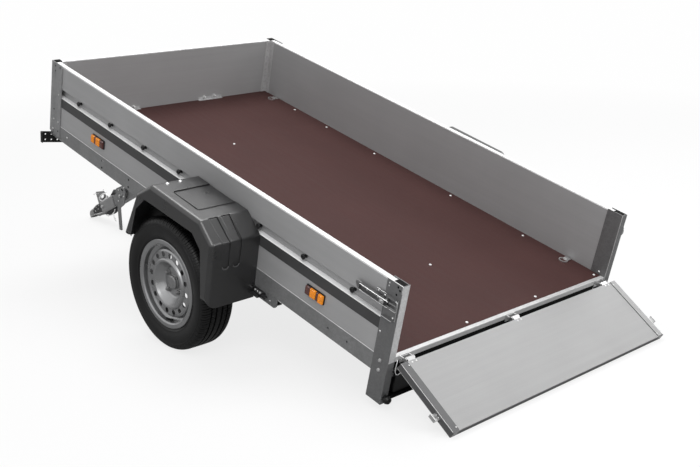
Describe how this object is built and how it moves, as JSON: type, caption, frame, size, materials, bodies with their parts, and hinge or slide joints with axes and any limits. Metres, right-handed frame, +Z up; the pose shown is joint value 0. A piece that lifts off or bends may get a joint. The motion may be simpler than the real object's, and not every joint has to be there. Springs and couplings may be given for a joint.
{
  "type": "tipping utility trailer",
  "caption": "Single-axle tipping utility trailer: open box bed with low boards, folding drawbar with ball coupling, ramp tailgate, covered wheels.",
  "frame": {"origin": "on the floor under the middle of the trailer's length and width, in the parked pose", "axes": "+Y forward, from tailgate to coupling; +X to the right; +Z up"},
  "size_m": [1.7606, 3.4042, 1.053],
  "materials": {
    "board_aluminium": "satin, faint lengthwise drawing lines",
    "galvanised_steel": "dull zinc",
    "bright_zinc": "bright zinc plating",
    "plywood_film": "dark brown phenolic film, fine mesh texture",
    "black_plastic": "moulded, light grain",
    "black_rubber": "matt",
    "tyre_rubber": "matt",
    "wheel_silver": "silver paint",
    "hub_steel": "grey",
    "black_paint": "semi-gloss black",
    "amber_lens": "ribbed lens",
    "red_lens": "ribbed lens"
  },
  "bodies": {
    "bed": {"floor_panel": "plywood_film", "side_board_right": "board_aluminium", "side_board_left": "board_aluminium", "front_board": "board_aluminium", "side_beams": "galvanised_steel", "cross_members": "galvanised_steel", "front_beam": "galvanised_steel", "rear_sill": "galvanised_steel", "rear_posts": "galvanised_steel", "front_posts": "galvanised_steel", "corner_strips": "galvanised_steel", "post_caps": "black_plastic", "post_buffers": "black_rubber", "lamp_bar": "black_paint", "rear_lamps": "red_lens", "plate_holder": "black_plastic", "tarp_hooks": "black_plastic", "side_markers": "amber_lens", "tie_rings": "bright_zinc", "lamp_brackets": "black_paint", "axle_rails": "galvanised_steel", "axle_tube": "galvanised_steel", "swing_arms": "galvanised_steel", "mudguard_right": "black_plastic", "mudguard_left": "black_plastic", "spine_tube": "galvanised_steel", "hinge_plates": "galvanised_steel", "pivot_pin": "bright_zinc", "sill_hinges": "bright_zinc", "tail_latches": "bright_zinc"},
    "drawbar": {"drawbar_tube": "galvanised_steel", "coupling_head": "bright_zinc", "coupling_handle": "bright_zinc", "leg_bracket": "bright_zinc", "plug_holder": "bright_zinc"},
    "support_leg": {"support_leg": "galvanised_steel"},
    "tailgate": {"tailgate_board": "board_aluminium", "tailgate_caps": "board_aluminium", "tailgate_strikers": "bright_zinc", "tailgate_hinges": "bright_zinc"},
    "wheel_right": {"tyre_right": "tyre_rubber", "rim_right": "wheel_silver", "hub_right": "hub_steel"},
    "wheel_left": {"tyre_left": "tyre_rubber", "rim_left": "wheel_silver", "hub_left": "hub_steel"}
  },
  "joints": [
    {"name": "drawbar_fold", "type": "hinge", "parent": "bed", "child": "drawbar", "pos_m": [0, 0.54055, 0.56771], "axis": [1, 0, 0], "range_deg": [0, 39.64]},
    {"name": "leg_swing", "type": "hinge", "parent": "drawbar", "child": "support_leg", "pos_m": [0, 1.2971, 0.205], "axis": [1, 0, 0], "range_deg": [-25.61, 64.39]},
    {"name": "tailgate_hinge", "type": "hinge", "parent": "bed", "child": "tailgate", "pos_m": [0, -1.43955, 0.1925], "axis": [1, 0, 0], "range_deg": [-111.6, 56]},
    {"name": "wheel_right_spin", "type": "hinge", "parent": "bed", "child": "wheel_right", "pos_m": [0.785, -0.36133, 0.2735], "axis": [1, 0, 0], "continuous": true},
    {"name": "wheel_left_spin", "type": "hinge", "parent": "bed", "child": "wheel_left", "pos_m": [-0.785, -0.36133, 0.2735], "axis": [1, 0, 0], "continuous": true}
  ]
}
